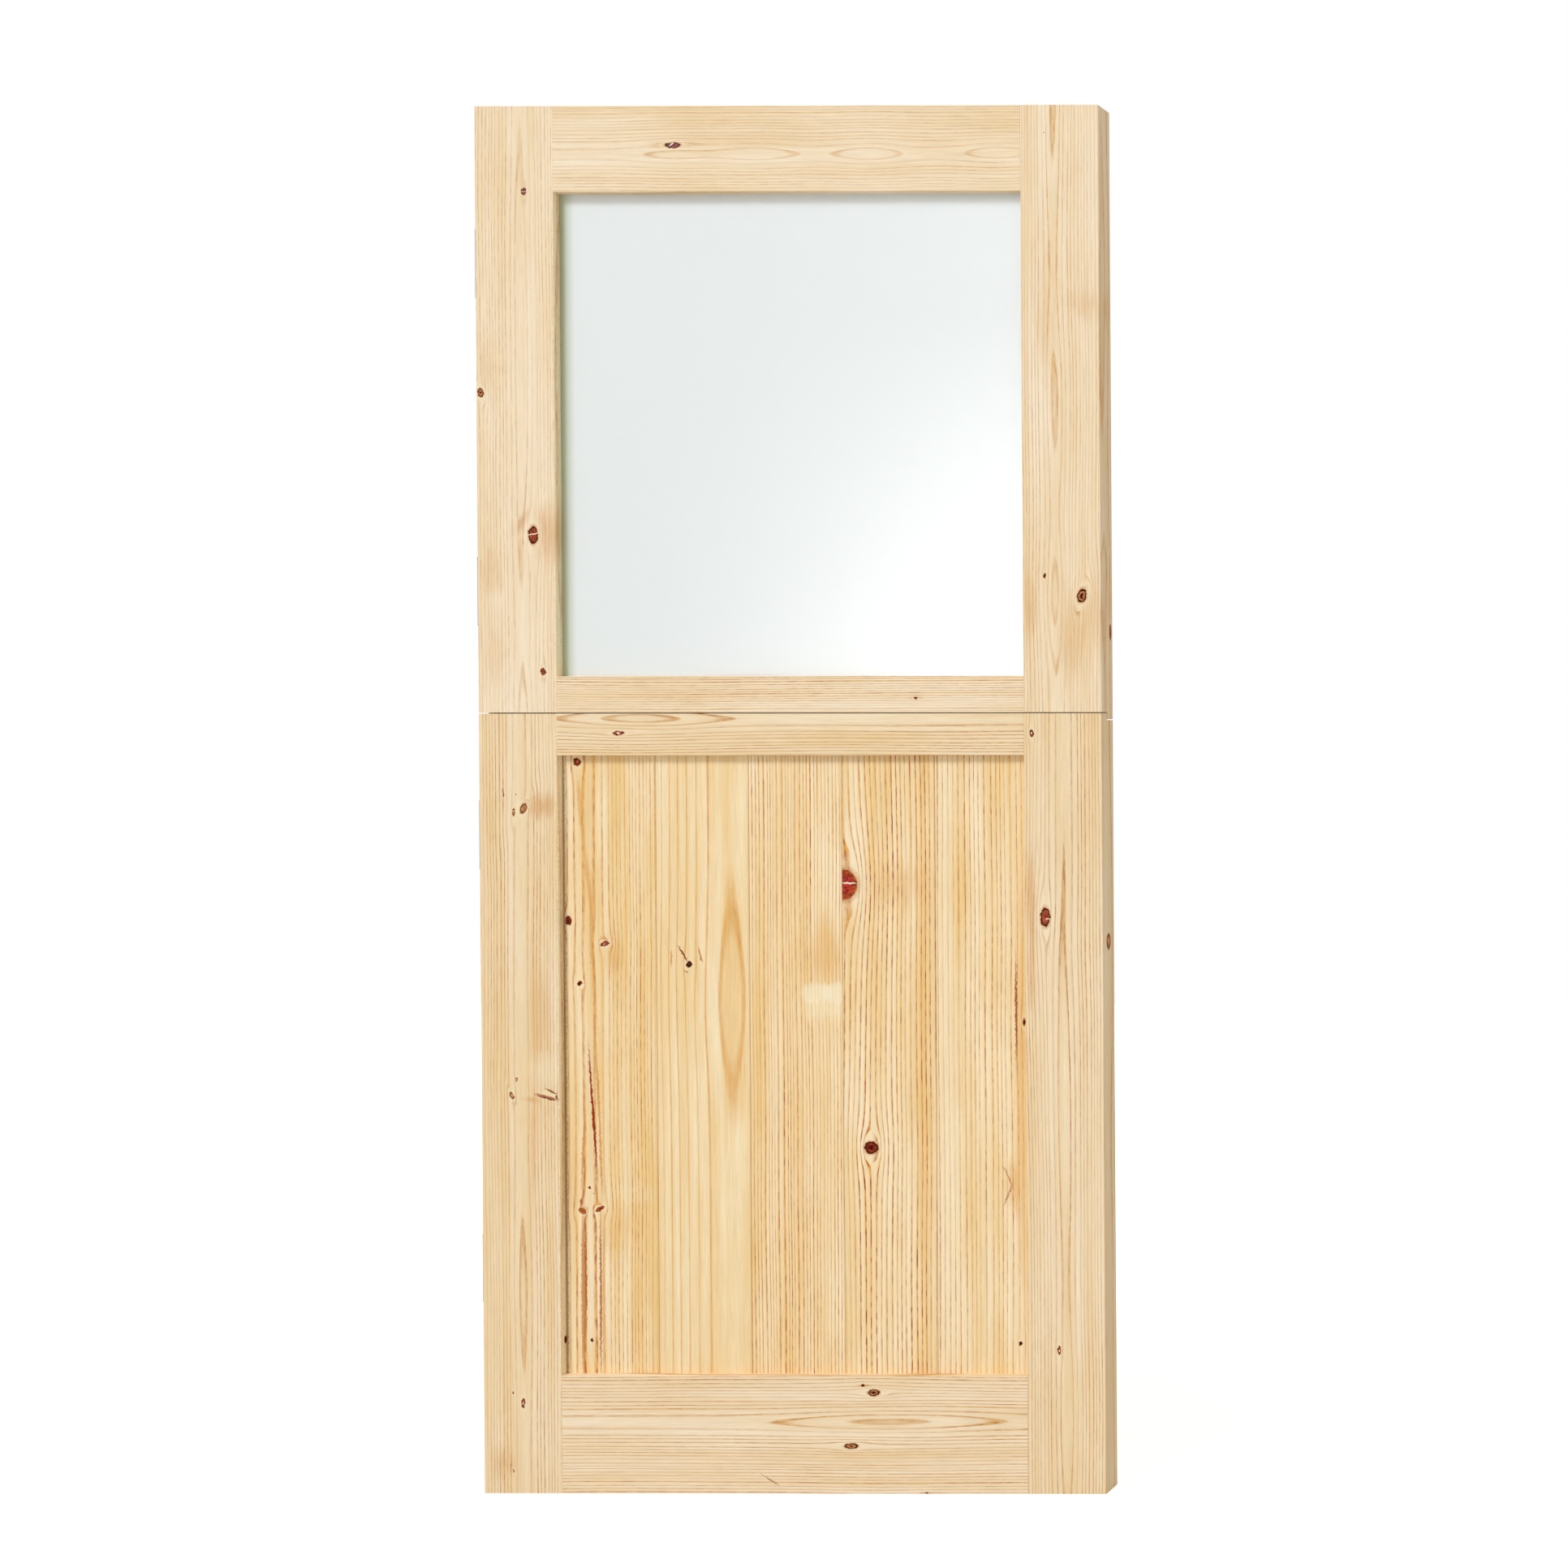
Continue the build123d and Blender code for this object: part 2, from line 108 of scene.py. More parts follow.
def knotty_pine(name, grain, heart, ring, pale, golden, line, streak, knots=(), tints=(), marks=(), eyes=(),
                seed=0.0, late_by=1.4, sway_by=8.0, uneven_by=0.8, drawn_by=0.7, resin_by=0.6,
                tone_by=(0.36, 0.64)):
    """Bare planed pine: a dull, warm, finely stroked surface. The board runs along the axis grain, and heart
    is the log's centre, across the board and in depth. In millimetres, ring is the rings' width, late_by that
    of their dark lines, and sway_by how far they wander. uneven_by is how much their widths differ, drawn_by
    and resin_by are how strongly the lines and the resin in them show, and tone_by is the part of the noise
    that takes the wood from pale to golden."""
    material, tree, shader = started(name)
    metres = node(tree, "ShaderNodeTexCoord").outputs["Object"]
    place = node(tree, "ShaderNodeVectorMath", {0: metres, "Scale": 1000.0}, operation="SCALE")
    axes = node(tree, "ShaderNodeSeparateXYZ", (place,)).outputs
    across, depth, along = (axes["Z"] if grain == "X" else axes["X"]), axes["Y"], axes[grain]
    board = node(tree, "ShaderNodeCombineXYZ", (across, depth, along))

    def noise(size, detail):
        """A 4-D noise whose grains have a size in millimetres, across, in depth and along the board."""
        scaled = node(tree, "ShaderNodeVectorMath", (board, tuple(1 / s for s in size)), operation="MULTIPLY")
        return node(tree, "ShaderNodeTexNoise", {"Vector": scaled, "W": seed, "Scale": 1.0, "Detail": detail},
                    noise_dimensions="4D")

    def within(mark, point):
        """The point as a knot or mark sees it: its middle is 0 and its edge is 1 away."""
        return node(tree, "ShaderNodeMapping", {
            "Vector": point, "Location": (mark.across, getattr(mark, "depth", 0), mark.along),
            "Rotation": (0, math.radians(mark.tilt), 0),
            "Scale": (mark.width / 2, getattr(mark, "thickness", THROUGH) / 2, mark.length / 2),
        }, vector_type="TEXTURE")

    # The rings wander as the trunk did, over some 100 mm across and 400 mm along the board
    sway = node(tree, "ShaderNodeSeparateColor", (noise((110, 110, 400), 1.0).outputs["Color"],)).outputs

    # A knot's edge is ragged, so its place is shaken by a millimetre or two
    ragged = noise((5, 5, 5), 3.0).outputs["Color"]
    shake = node(tree, "ShaderNodeVectorMath", (ragged, (0.5, 0.5, 0.5)), operation="SUBTRACT")
    shaken = node(tree, "ShaderNodeVectorMath", (shake, (6.0, 0.0, 6.0), board), operation="MULTIPLY_ADD")

    # The rings bend round each knot, less so the further off they are
    bent = across
    nearest = None
    reaches = []
    for knot in knots:
        place_in_knot = within(knot, board)
        eased = node(tree, "ShaderNodeVectorMath", (place_in_knot, (1.0, 1.0, 0.4)), operation="MULTIPLY")
        reach = node(tree, "ShaderNodeVectorMath", (eased, eased), operation="DOT_PRODUCT")
        reach = node(tree, "ShaderNodeMath", (reach, 1.0), operation="MAXIMUM")
        aside = node(tree, "ShaderNodeSeparateXYZ", (place_in_knot,)).outputs["X"]
        push = node(tree, "ShaderNodeMath", (aside, reach), operation="DIVIDE")
        bent = node(tree, "ShaderNodeMath", (push, -knot.flow * knot.width, bent), operation="MULTIPLY_ADD")
        away = node(tree, "ShaderNodeVectorMath", (within(knot, shaken),), operation="LENGTH")
        away = away.outputs["Value"]
        reaches.append((knot, away))
        nearest = node(tree, "ShaderNodeMath", (away, nearest), operation="MINIMUM") if nearest else away

    # The distance from the heart, less each swelling of the trunk, gives the annual ring
    side = node(tree, "ShaderNodeMath", (sway["Green"], sway_by, bent), operation="MULTIPLY_ADD")
    side = node(tree, "ShaderNodeMath", (side, heart[0] + sway_by / 2), operation="SUBTRACT")
    behind = node(tree, "ShaderNodeMath", (heart[1], depth), operation="SUBTRACT")
    behind = node(tree, "ShaderNodeMath", (sway["Red"], sway_by / 3, behind), operation="MULTIPLY_ADD")
    for eye in eyes:
        past = node(tree, "ShaderNodeMath", (along, eye.along), operation="SUBTRACT")
        past = node(tree, "ShaderNodeMath", (past, eye.length / 2), operation="DIVIDE")
        past = node(tree, "ShaderNodeMath", (past, past), operation="MULTIPLY")
        swelling = node(tree, "ShaderNodeMath", (math.exp(-1), past), operation="POWER")
        behind = node(tree, "ShaderNodeMath", (swelling, -eye.rise, behind), operation="MULTIPLY_ADD")
    radius = node(tree, "ShaderNodeCombineXYZ", (side, behind, 0.0))
    radius = node(tree, "ShaderNodeVectorMath", (radius,), operation="LENGTH")
    rings = node(tree, "ShaderNodeMath", (radius.outputs["Value"], ring), operation="DIVIDE")
    uneven = node(tree, "ShaderNodeTexNoise", {"W": rings, "Scale": 0.4, "Detail": 0.0},
                  noise_dimensions="1D")
    rings = node(tree, "ShaderNodeMath", (uneven, uneven_by, rings), operation="MULTIPLY_ADD")
    year = node(tree, "ShaderNodeMath", (rings,), operation="FLOOR")
    season = node(tree, "ShaderNodeMath", (rings,), operation="FRACT")
    summer = node(tree, "ShaderNodeTexWhiteNoise", {"W": year}, noise_dimensions="1D")
    summer = node(tree, "ShaderNodeMapRange", {0: summer.outputs["Value"], 3: 0.5, 4: 1.0})

    # Each ring darkens slowly from pale spring wood to a thin hard line of summer wood, and starts again at
    # once. Each year, stretch and patch has lines of its own strength, and they crowd beside a knot.
    soft = node(tree, "ShaderNodeValToRGB", (season,), stops=(
        (0.0, grey(0.1)), (1.0, grey(1.0)), (0.06, grey(0.0)), (0.35, grey(0.0)), (0.8, grey(0.6)),
    ))
    hard = late_by / ring
    late = node(tree, "ShaderNodeValToRGB", (season,), stops=(
        (0.0, grey(0.55)), (1.0, grey(0.55)), (0.06, grey(0.0)), (1 - hard, grey(0.0)),
        (1 - 0.45 * hard, grey(1.0)), (0.96, grey(1.0)),
    ))
    bold = node(tree, "ShaderNodeMapRange", {0: noise((34, 34, 500), 2.0), 1: 0.36, 2: 0.6, 3: 0.55, 4: 1.2})
    worn = node(tree, "ShaderNodeMapRange", {0: noise((9, 9, 70), 2.0), 1: 0.35, 2: 0.6, 3: 0.7, 4: 1.0})
    drawn = node(tree, "ShaderNodeMath", (late, summer), operation="MULTIPLY")
    drawn = node(tree, "ShaderNodeMath", (drawn, worn), operation="MULTIPLY")
    drawn = node(tree, "ShaderNodeMath", (drawn, bold), operation="MULTIPLY")
    if nearest:
        crowded = node(tree, "ShaderNodeMapRange", {0: nearest, 1: 3.5, 2: 1.2, 3: 1.0, 4: 1.8})
        drawn = node(tree, "ShaderNodeMath", (drawn, crowded), operation="MULTIPLY", use_clamp=True)

    # The wood darkens and pales in long bands and in patches, and warms beside its knots
    bands = node(tree, "ShaderNodeMath", (noise((15, 15, 420), 4.0), 0.65), operation="MULTIPLY")
    tone = node(tree, "ShaderNodeMath", (noise((60, 60, 200), 2.0), 0.35, bands), operation="MULTIPLY_ADD")
    tone = node(tree, "ShaderNodeMapRange", {0: tone, 1: tone_by[0], 2: tone_by[1]})
    wood = node(tree, "ShaderNodeMix", {0: tone, 6: linear(pale), 7: linear(golden)}, data_type="RGBA")
    flames = node(tree, "ShaderNodeMath", (noise((5, 5, 130), 3.0), 0.5), operation="SUBTRACT")

    def laid(wood, spots):
        """The wood with patches of colour laid over it, frayed along the grain where they are streaky."""
        for spot in spots:
            away = node(tree, "ShaderNodeVectorMath", (within(spot, shaken),), operation="LENGTH")
            away = node(tree, "ShaderNodeMath", (flames, spot.streaky, away.outputs["Value"]),
                        operation="MULTIPLY_ADD")
            share = node(tree, "ShaderNodeMapRange", {
                0: away, 1: 1 + spot.soft, 2: 1 - spot.soft, 3: 0.0, 4: spot.strength,
            }, interpolation_type="SMOOTHSTEP")
            wood = node(tree, "ShaderNodeMix", {0: share, 6: wood, 7: linear(spot.colour)}, data_type="RGBA")
        return wood

    wood = laid(wood, tints)
    tint = node(tree, "ShaderNodeMath", (soft, summer), operation="MULTIPLY")
    tint = node(tree, "ShaderNodeMath", (tint, 0.3 * drawn_by), operation="MULTIPLY")
    wood = node(tree, "ShaderNodeMix", {0: tint, 6: wood, 7: linear(line)}, data_type="RGBA")
    lines = node(tree, "ShaderNodeMath", (drawn, drawn_by), operation="MULTIPLY")
    wood = node(tree, "ShaderNodeMix", {0: lines, 6: wood, 7: linear(line)}, data_type="RGBA")

    # Resin darkens the summer wood in short red-brown dashes, 3 to 12 mm long
    dashes = node(tree, "ShaderNodeMapRange", {0: noise((3, 3, 16), 3.0), 1: 0.47, 2: 0.57, 4: resin_by})
    dashes = node(tree, "ShaderNodeMath", (dashes, bold), operation="MULTIPLY")
    resin = node(tree, "ShaderNodeMath", (drawn, dashes), operation="MULTIPLY", use_clamp=True)
    wood = node(tree, "ShaderNodeMix", {0: resin, 6: wood, 7: linear(streak)}, data_type="RGBA")

    # The fibres show as fine short strokes, drawn 1.5 mm wide because the real ones are too fine to show
    fibres = noise((1.5, 1.5, 40), 2.0)
    shade = node(tree, "ShaderNodeMapRange", {0: fibres, 1: 0.3, 2: 0.7, 3: 0.94, 4: 1.06})
    wood = node(tree, "ShaderNodeMix", {0: 1.0, 6: wood, 7: shade}, data_type="RGBA", blend_type="MULTIPLY")

    # A pale halo and a tan collar lie round each knot, and the knot shows its pith, wood and bark
    if nearest:
        mottle = noise((4, 4, 4), 3.0)
        patchy = node(tree, "ShaderNodeMapRange", {0: mottle, 1: 0.36, 2: 0.64, 3: 0.5, 4: 1.5})
        halo = node(tree, "ShaderNodeMapRange", {0: nearest, 1: 2.3, 2: 1.3, 3: 0.0, 4: 0.9})
        halo = node(tree, "ShaderNodeMath", (halo, mottle), operation="MULTIPLY")
        wood = node(tree, "ShaderNodeMix", {0: halo, 6: wood, 7: linear("#F9E8CA")}, data_type="RGBA")
        collar = node(tree, "ShaderNodeMapRange", {0: nearest, 1: 1.4, 2: 1.0, 3: 0.0, 4: 1.2})
        collar = node(tree, "ShaderNodeMath", (collar, mottle), operation="MULTIPLY", use_clamp=True)
        wood = node(tree, "ShaderNodeMix", {0: collar, 6: wood, 7: linear("#C88A48")}, data_type="RGBA")
    for knot, away in reaches:
        pith, body, bark = (linear(colour) for colour in knot.kind)
        warped = node(tree, "ShaderNodeMath", (mottle, 0.5), operation="SUBTRACT")
        warped = node(tree, "ShaderNodeMath", (warped, 0.7, away), operation="MULTIPLY_ADD")
        inside = node(tree, "ShaderNodeValToRGB", (warped,), stops=(
            (0.25, pith), (0.95, bark), (0.42, body), (0.68, body), (0.8, bark),
        ))
        inside = node(tree, "ShaderNodeMix", {0: 1.0, 6: inside, 7: patchy}, data_type="RGBA",
                      blend_type="MULTIPLY")
        share = node(tree, "ShaderNodeMapRange", {0: away, 1: 1.06, 2: 0.94})
        wood = node(tree, "ShaderNodeMix", {0: share, 6: wood, 7: inside}, data_type="RGBA")
    wood = laid(wood, marks)

    tree.links.new(wood.outputs[2], shader.inputs["Base Color"])
    relief = node(tree, "ShaderNodeMath", (drawn, 0.5, fibres), operation="MULTIPLY_ADD")
    bump = node(tree, "ShaderNodeBump", {"Strength": 0.25, "Distance": 0.0002, "Height": relief})
    tree.links.new(bump.outputs[0], shader.inputs["Normal"])
    shader.inputs["Roughness"].default_value = 0.62
    shader.inputs["IOR"].default_value = 1.45
    shader.inputs["Specular IOR Level"].default_value = 0.06
    return material


def finish_with(name, material):
    """Gives a node's slots one material."""
    for slot in nodes[name].material_slots:
        slot.material = material


stile_colours = {"pale": "#F6E4C7", "golden": "#EDD1A4", "line": "#D09A54", "streak": "#A4521E"}
paler_colours = {"pale": "#F8E8D0", "golden": "#EFD6B0", "line": "#D8A65E", "streak": "#B86E34"}
finish_with("upper_hinge_stile", knotty_pine(
    "pine_upper_hinge_stile", "Z", (-391, -7), 4.5, **paler_colours, seed=1.0, drawn_by=0.36, resin_by=0.3,
    knots=[Knot(-385.5, 1907.5, 7.5, 11, MAUVE), Knot(-451, 1613.5, 8.5, 13, RINGED, tilt=-12),
           Knot(-375, 1405.5, 13.5, 26, RED), Knot(-362, 1205, 7, 10, RED)],
    # The first tint is painted light: a pale strip at the stile's inner edge lightens the reveal beside the
    # glass
    tints=[Tint(-342.9, 1500, 2.0, 2000, 0, "#FFF0CE", 0.9, 0.2),
           Tint(-350, 1410, 34, 70, 0, "#D9A66C", 0.55), Tint(-392, 1424, 10, 30, 20, "#C98F5C", 0.6),
           Tint(-436, 1345, 26, 60, 0, "#DDB27A", 0.3), Tint(-436, 1230, 26, 80, 0, "#DDB27A", 0.25),
           Tint(-440, 1650, 22, 70, 0, "#DDB27A", 0.3)],
    marks=[Mark(-385.5, 1907.5, 8, 1.3, 0, "#EBCDB0", 0.8),
           Mark(-374.5, 1407, 15, 1.9, -4, "#F8E2CB", 0.95, 0.3),
           Mark(-430, 1312, 22, 30, 0, "#F8EAD2", 0.4, 0.8)],
    eyes=[Eye(1663, 596, 4.4), Eye(1060, 268, 5.0)],
))
finish_with("upper_lock_stile", knotty_pine(
    "pine_upper_lock_stile", "Z", (391, -7), 4.5, **paler_colours, seed=2.0, drawn_by=0.5, resin_by=0.3,
    knots=[Knot(377.5, 1992, 2, 3, BLACK), Knot(342.5, 1770.5, 2, 9, BLACK, flow=0.2),
           Knot(375, 1345, 4.5, 7, BLACK), Knot(429.5, 1315.5, 13.5, 21, RINGED, tilt=14),
           Knot(457.2, 1264, 60, 21.5, RED, depth=14, thickness=7)],
    tints=[Tint(435, 1740, 40, 40, 25, "#DDB27A", 0.4), Tint(412, 1255, 26, 100, 0, "#DDAE70", 0.4),
           Tint(446, 1290, 22, 110, 0, "#DFAE70", 0.45), Tint(352, 1300, 18, 80, 0, "#DDB27A", 0.5),
           Tint(378, 1700, 24, 120, 0, "#E0B57C", 0.35)],
    eyes=[Eye(2080, 460, 6.0), Eye(1600, 300, 6.0), Eye(1315, 170, 6.0)],
))
finish_with("top_rail", knotty_pine(
    "pine_top_rail", "X", (1962, -6), 4.5, **paler_colours, seed=3.0, drawn_by=0.5, resin_by=0.3,
    knots=[Knot(1974.5, -166, 8, 22.5, MAUVE)],
    marks=[Mark(1976, -167.5, 2.6, 8, 35, "#F6E4D2", 0.95, 0.3)],
    eyes=[Eye(-166, 120, 4.0), Eye(-46, 130, 5.0), Eye(121, 110, 5.0), Eye(311, 110, 5.0)],
))
finish_with("upper_meeting_rail", knotty_pine(
    "pine_upper_meeting_rail", "X", (1090, 0), 3.4, **paler_colours, seed=4.0, drawn_by=0.95,
    knots=[Knot(1166.5, 184.5, 3, 6, BLACK)],
))
finish_with("lower_meeting_rail", knotty_pine(
    "pine_lower_meeting_rail", "X", (1136, -7), 4.5, **stile_colours, seed=5.0, drawn_by=0.95,
    knots=[Knot(1115.5, -252, 6, 16.5, PALE)],
    eyes=[Eye(-222, 200, 7.0)],
))
finish_with("lower_hinge_stile", knotty_pine(
    "pine_lower_hinge_stile", "Z", (-398, -7), 4.5, **stile_colours, seed=6.0, drawn_by=0.65, resin_by=0.4,
    tone_by=(0.34, 0.6),
    knots=[Knot(-422, 1028, 2, 13, TAN), Knot(-403, 1025.5, 2.2, 2.4, BLACK), Knot(-407, 999.5, 4, 11, TAN),
           Knot(-392.5, 1005.5, 9, 16.5, TAN, tilt=25), Knot(-405, 608, 3, 6, TAN),
           Knot(-412.5, 584, 5.5, 11, TAN, tilt=-20), Knot(-414.5, 148, 2.5, 4, BLACK),
           Knot(-399, 132.5, 5, 14, PALE), Knot(-414, 33.5, 2, 6, TAN, tilt=-25),
           Knot(-342.9, 223.7, 30, 11, CRIMSON, flow=0, depth=-11.5, thickness=6)],
    # The first tint is painted light: a pale strip at the stile's inner edge lightens the reveal beside the
    # planks
    tints=[Tint(-342.9, 700, 2.0, 3000, 0, "#FFF2D2", 1.0, 0.2), Tint(-365, 1008, 30, 30, 0, "#D39C5E", 0.6),
           Tint(-430, 45, 30, 40, 0, "#DDB07A", 0.5), Tint(-386, 578, 22, 8, 8, "#D9A66C", 0.6),
           Tint(-372, 700, 30, 120, 0, "#DFB27A", 0.4), Tint(-382, 520, 10, 150, 0, "#DDA868", 0.45)],
    marks=[Mark(-362, 620, 40, 44, 0, "#F7E9CB", 0.4, 0.8), Mark(-358, 586, 24, 7, 16, "#F1DDB0", 0.9, 0.4),
           Mark(-362, 582, 32, 4.6, 13, "#A35A44", 0.9, 0.4),
           Mark(-359, 579.5, 24, 2.2, 14, "#6E2419", 0.9, 0.4),
           Mark(-355, 590.5, 19, 2.6, 27, "#84382A", 0.9, 0.4),
           Mark(-346.8, 582, 2.6, 8, -20, "#7A2E20", 0.9, 0.4)],
    eyes=[Eye(290, 260, 2.0)],
))
finish_with("lower_lock_stile", knotty_pine(
    "pine_lower_lock_stile", "Z", (400, -7), 4.7, **stile_colours, seed=7.0, drawn_by=0.7, resin_by=0.4,
    knots=[Knot(354.5, 1115, 6, 10.5, PALE), Knot(373, 845.5, 14, 29, RED), Knot(389.5, 210.5, 4.5, 12, PALE),
           Knot(457.2, 808, 60, 22.5, TAN, depth=0, thickness=15)],
    tints=[Tint(352, 870, 12, 120, 0, "#D9A266", 0.5), Tint(352, 760, 14, 90, 0, "#D9A266", 0.4)],
    marks=[Mark(376.5, 843, 7, 1.7, -8, "#F5DFC4", 0.95, 0.3)],
    eyes=[Eye(560, 460, 3.4), Eye(120, 260, 3.4)],
))
finish_with("bottom_rail", knotty_pine(
    "pine_bottom_rail", "X", (105.5, -6), 4.6, **paler_colours, seed=8.0, drawn_by=0.95,
    knots=[Knot(148.5, 117, 10, 17.5, RINGED), Knot(159, 101, 4, 5.5, BLACK), Knot(70, 83, 8.5, 20, RINGED),
           Knot(1, 193.5, 2.5, 6, BLACK)],
    marks=[Mark(22, -38, 1.4, 28, -31, "#A86A40", 0.7, 0.6),
           Mark(18, -33, 1.2, 20, -31, "#A86A40", 0.7, 0.6)],
    eyes=[Eye(142, 300, 7.0)],
))

# The glazing beads
# Four slim strips of the stiles' pine, mitred at the corners, hold the glass unit from the rear. The grain
# runs along each strip, so the level ones and the upright ones have a material each.
level_beads = knotty_pine("pine_level_beads", "X", (1500, 60), 4.0, **stile_colours, seed=9.0, drawn_by=0.5)
upright_beads = knotty_pine("pine_upright_beads", "Z", (0, 60), 4.0, **stile_colours, seed=9.5, drawn_by=0.5)
for side_name in ("bottom", "top"):
    finish_with(f"glazing_bead_{side_name}", level_beads)
for side_name in ("lock_side", "hinge_side"):
    finish_with(f"glazing_bead_{side_name}", upright_beads)

# Planks
# Five boards of a yellower pine, tongued and grooved together. Their rings are cut nearer the edge of the
# log, so most of their lines run straight, and resin colours them red-brown in dashes. The first plank's
# first mark is painted shade: a dark line where the plank goes into the stile's groove.
plank_colours = {"pale": "#FBEBCB", "golden": "#F0CF95", "line": "#DE9C36", "streak": "#A8480A"}
finish_with("plank_1", knotty_pine(
    "pine_plank_1", "Z", (-306, 21.5), 5.0, **plank_colours, seed=11.0, sway_by=3.0, drawn_by=0.75,
    tone_by=(0.34, 0.6),
    knots=[Knot(-321, 1073, 11, 11, CRIMSON), Knot(-335.5, 840, 9, 13, CRIMSON),
           Knot(-282, 805.5, 14, 7, RED, tilt=-15), Knot(-319.5, 747, 8, 7, BLACK, tilt=-20),
           Knot(-317.5, 412.5, 11, 8, ("#4A1004", "#B4602A", "#8A3412"), tilt=35),
           Knot(-292, 415, 14, 6, ("#4A1004", "#A84A20", "#8A3412"), tilt=-28),
           Knot(-306.6, 447, 4, 4, BLACK), Knot(-304.5, 222, 5, 6, BLACK)],
    tints=[Tint(-317, 1006, 6, 100, -6.6, "#DFA45C", 0.6), Tint(-307, 908, 6, 110, -5.2, "#DFA45C", 0.6),
           Tint(-301, 807, 6, 105, -1.7, "#DFA45C", 0.6), Tint(-297.5, 682, 5, 160, -1.4, "#DD9C50", 0.6),
           Tint(-304, 300, 16, 230, 0, "#FBEACB", 0.8), Tint(-240, 440, 60, 26, 12, "#F7E4BC", 0.5),
           Tint(-262, 385, 50, 60, 0, "#E8BC76", 0.4), Tint(-268, 790, 26, 50, 0, "#E2AC60", 0.5)],
    # Painted shade: a soft dark line along the plank's left edge, where it goes into the stile's groove
    marks=[Mark(-342.9, 630, 7, 2000, 0, "#96743F", 0.7, 0.5),
           Mark(-301, 557, 3.4, 184, -3.5, "#9A3410", 1.0, 0.4),
           Mark(-293, 582, 3.4, 110, -2.5, "#D08A3A", 0.7, 0.5),
           Mark(-290, 488, 3.4, 100, -1.7, "#D08A3A", 0.7, 0.5),
           Mark(-316, 500, 3.4, 110, 3.3, "#CE8438", 0.7, 0.5),
           Mark(-317, 290, 6.4, 236, 0.1, "#C67E3E", 0.85, 0.4),
           Mark(-313, 315, 2.4, 160, 0, "#A0441C", 0.8, 0.5),
           Mark(-291.5, 290, 3.0, 236, 0.2, "#A84E1C", 0.85, 0.5),
           Mark(-287.5, 270, 3.6, 190, 0.2, "#E0A25A", 0.6, 0.5),
           Mark(-320, 427, 4, 5, 0, "#9A3A22", 0.8, 0.5), Mark(-301, 438, 1.8, 2, 0, "#6A3010", 0.8, 0.5),
           Mark(-282.5, 805, 4, 2, 0, "#E9B49A", 0.8), Mark(-320.5, 1073, 2.6, 3, 0, "#E3AC8A", 0.8)],
))
finish_with("plank_2", knotty_pine(
    "pine_plank_2", "Z", (-95, 50.5), 9.9, **{**plank_colours, "pale": "#FAE7C3", "line": "#DFA24A"},
    seed=12.0, late_by=1.7, sway_by=0.0, uneven_by=0.0, drawn_by=0.75, resin_by=0.15,
    knots=[Knot(-158, 775.5, 9, 9, ("#7E3A30", "#3A0C04", "#4C160A"))],
    tints=[Tint(-96, 721, 36, 320, 0, "#EBC07A", 0.35, 0.15)],
    marks=[Mark(-166.5, 791, 2.8, 25, -32, "#8A3214", 0.95),
           Mark(-141, 789, 2.4, 22, -14, "#B45A22", 0.8, 0.5),
           Mark(-184, 784, 2.4, 22, 0, "#C0722E", 0.6, 0.5), Mark(-162, 765, 2, 6, -45, "#8A3A1C", 0.7, 0.5)],
    eyes=[Eye(725, 236, 4.0)],
))
finish_with("plank_3", knotty_pine(
    "pine_plank_3", "Z", (-200, 30), 5.2, **plank_colours, seed=13.0, late_by=1.7, drawn_by=1.1, resin_by=0.8,
    tints=[Tint(44, 790, 60, 70, 0, "#E4AE64", 0.45), Tint(-20, 640, 90, 1200, 0, "#F0CC94", 0.3)],
    marks=[Mark(32, 733, 48, 30, 0, "#FAEDCF", 0.6, 0.25, 1.5),
           Mark(60, 733, 48, 30, 0, "#FAEDCF", 0.6, 0.25, 1.5),
           Mark(46, 712, 64, 34, 0, "#FBECCA", 0.55, 0.6, 5.0)],
))
finish_with("plank_4", knotty_pine(
    "pine_plank_4", "Z", (-80, 30), 7.2, **plank_colours, seed=14.0, late_by=2.2, uneven_by=0.35,
    drawn_by=1.1, resin_by=1.0,
    knots=[Knot(69.5, 892.5, 43, 45, ("#A03226", "#A8382A", "#A0441E"), flow=0.4),
           Knot(109.5, 505.5, 21, 18, CRIMSON)],
    tints=[Tint(150, 890, 90, 60, 0, "#DDA558", 0.35), Tint(84, 960, 30, 80, 0, "#FBEACB", 0.8),
           Tint(94, 560, 40, 90, 0, "#FBEACB", 0.7), Tint(190, 600, 24, 1200, 0, "#EDC588", 0.5)],
    marks=[Mark(79, 895, 21, 2.4, 3, "#F8E4CE", 0.95, 0.3)],
))
finish_with("plank_5", knotty_pine(
    "pine_plank_5", "Z", (20, 35), 7.6, **plank_colours, seed=15.0, late_by=1.7, uneven_by=0.6, drawn_by=0.85,
    knots=[Knot(336, 689.5, 5, 12, BLACK), Knot(327.5, 217, 4.6, 7, BLACK)],
    tints=[Tint(212, 600, 34, 1300, 0, "#F9E7C6", 0.6), Tint(318, 450, 18, 60, 0, "#E4AE64", 0.5),
           Tint(330, 600, 14, 500, 0, "#E4AE64", 0.45)],
    marks=[Mark(324, 708, 3, 140, 0, "#A04416", 0.9, 0.5), Mark(311, 462, 2.2, 34, -24, "#B8682E", 0.7, 0.5),
           Mark(311, 437, 2.2, 34, 24, "#A85A26", 0.7, 0.5)],
))

# The glass unit
# Two panes held apart by an aluminium spacer and sealed round their edge. The front pane is etched on its
# inner face, which gives a white haze with a faint green cast, and the rear one is clear float glass.
GLASS_IOR = 1.52
PAINTED_DIM_SIDE, PAINTED_BRIGHT_SIDE = -0.3, 0.3
PAINTED_DIM_ABOVE, PAINTED_BRIGHT_BELOW = 1.74, 1.16
PAINTED_SHADOW_INSIDE, PAINTED_SHADOW_EDGE = -0.3220, -0.3425
